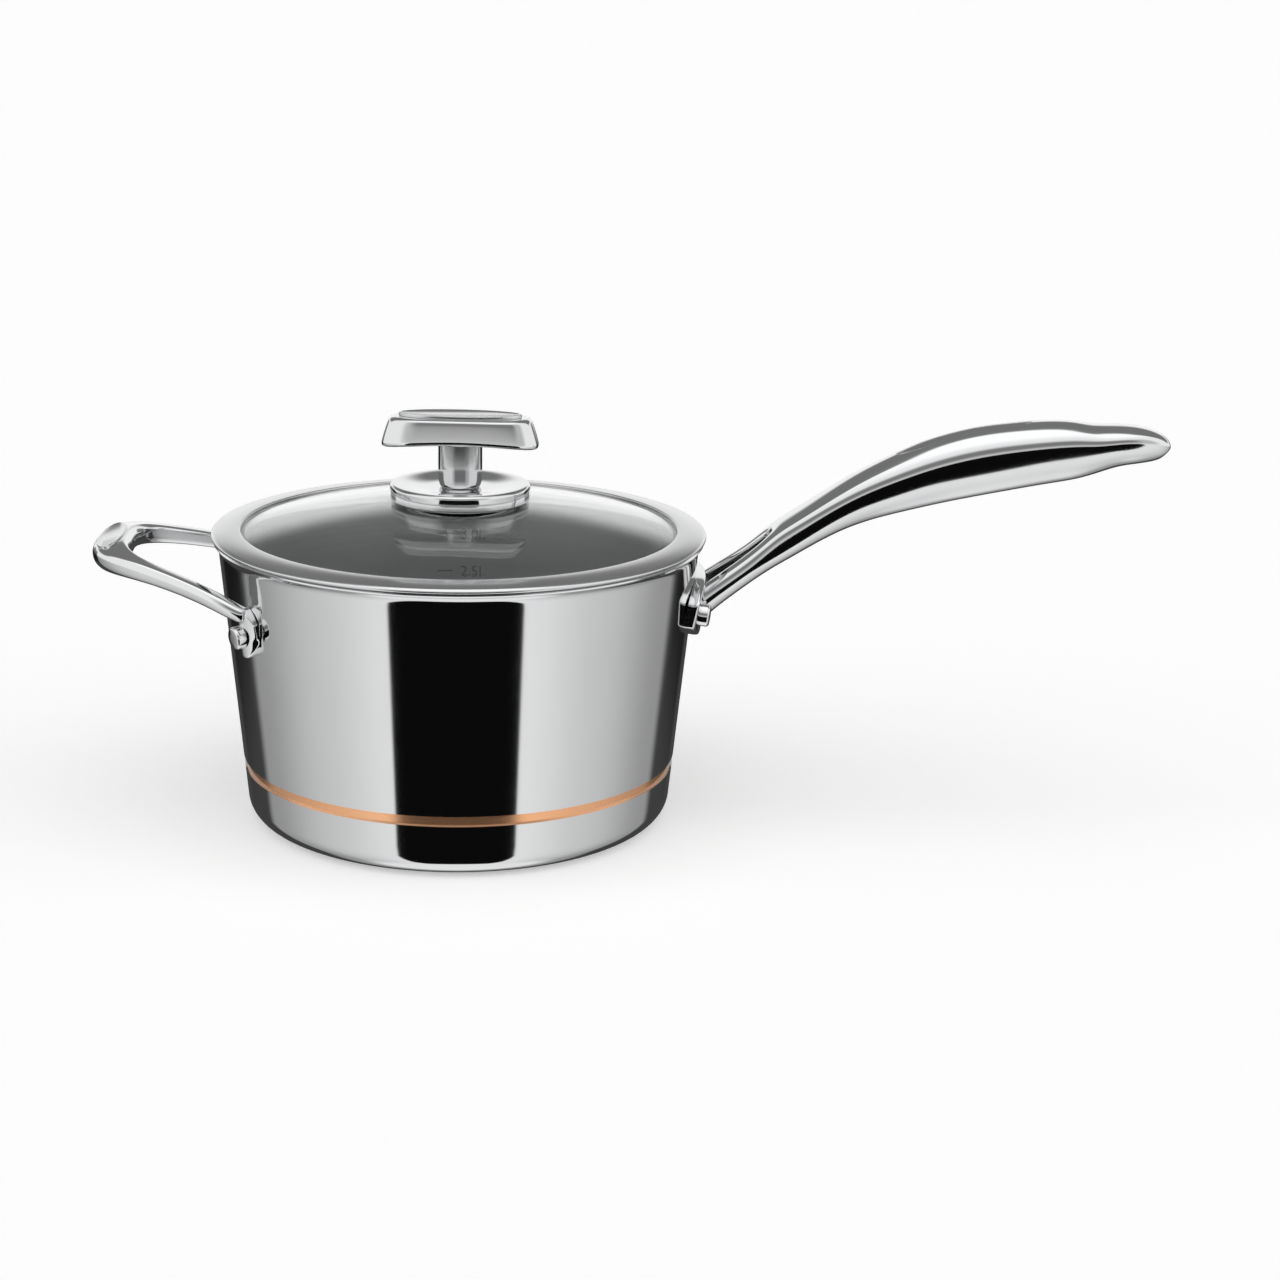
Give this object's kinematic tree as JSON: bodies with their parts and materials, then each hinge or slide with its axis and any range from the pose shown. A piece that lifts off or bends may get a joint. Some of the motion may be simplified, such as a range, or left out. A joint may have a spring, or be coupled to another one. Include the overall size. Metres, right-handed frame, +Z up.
{
  "type": "saucepan with glass lid",
  "caption": "Deep clad saucepan with a copper band, a forked long handle, a looped helper handle and a steel-rimmed glass lid with a bar knob.",
  "frame": {"origin": "centre of the flat base, on the surface that the pan stands on", "axes": "+Z up out of the pan, +X along the long handle, +Y to the left of the long handle; the helper handle is on -X"},
  "size_m": [0.4586, 0.21, 0.1745],
  "materials": {
    "polished_steel": "mirror polished stainless steel",
    "satin_steel": "satin brushed stainless steel",
    "brushed_inside": "circularly brushed stainless steel",
    "copper": null,
    "aluminium": "plain",
    "cast_steel": "polished cast stainless steel",
    "glass": "clear tempered glass",
    "gasket": "matt silicone rubber"
  },
  "bodies": {
    "pan": {"inner_steel_liner": "brushed_inside", "inner_aluminium_ply": "aluminium", "copper_core": "copper", "outer_aluminium_ply": "aluminium", "outer_steel_wall": "polished_steel", "outer_steel_base": "polished_steel", "long_handle": "cast_steel", "long_handle_badge": "satin_steel", "long_handle_rivet_front": "satin_steel", "long_handle_rivet_rear": "satin_steel", "helper_handle": "cast_steel", "helper_handle_badge": "satin_steel", "helper_handle_rivet_front": "satin_steel", "helper_handle_rivet_rear": "satin_steel"},
    "lid": {"lid_rim": "satin_steel", "lid_glass": "glass"},
    "knob": {"knob_bar": "polished_steel", "knob_badge": "satin_steel", "knob_stem": "polished_steel", "knob_flange": "polished_steel", "knob_upper_gasket": "gasket", "knob_lower_gasket": "gasket", "knob_washer": "satin_steel", "knob_lock_washer": "satin_steel", "knob_screw": "satin_steel"}
  },
  "joints": [
    {"name": "lid_lift", "type": "slide", "parent": "pan", "child": "lid", "axis": [0, 0, 1], "range_m": [0, 0.06]},
    {"name": "knob_turn", "type": "hinge", "parent": "lid", "child": "knob", "pos_m": [0, 0, 0.14], "axis": [0, 0, 1], "continuous": true}
  ]
}
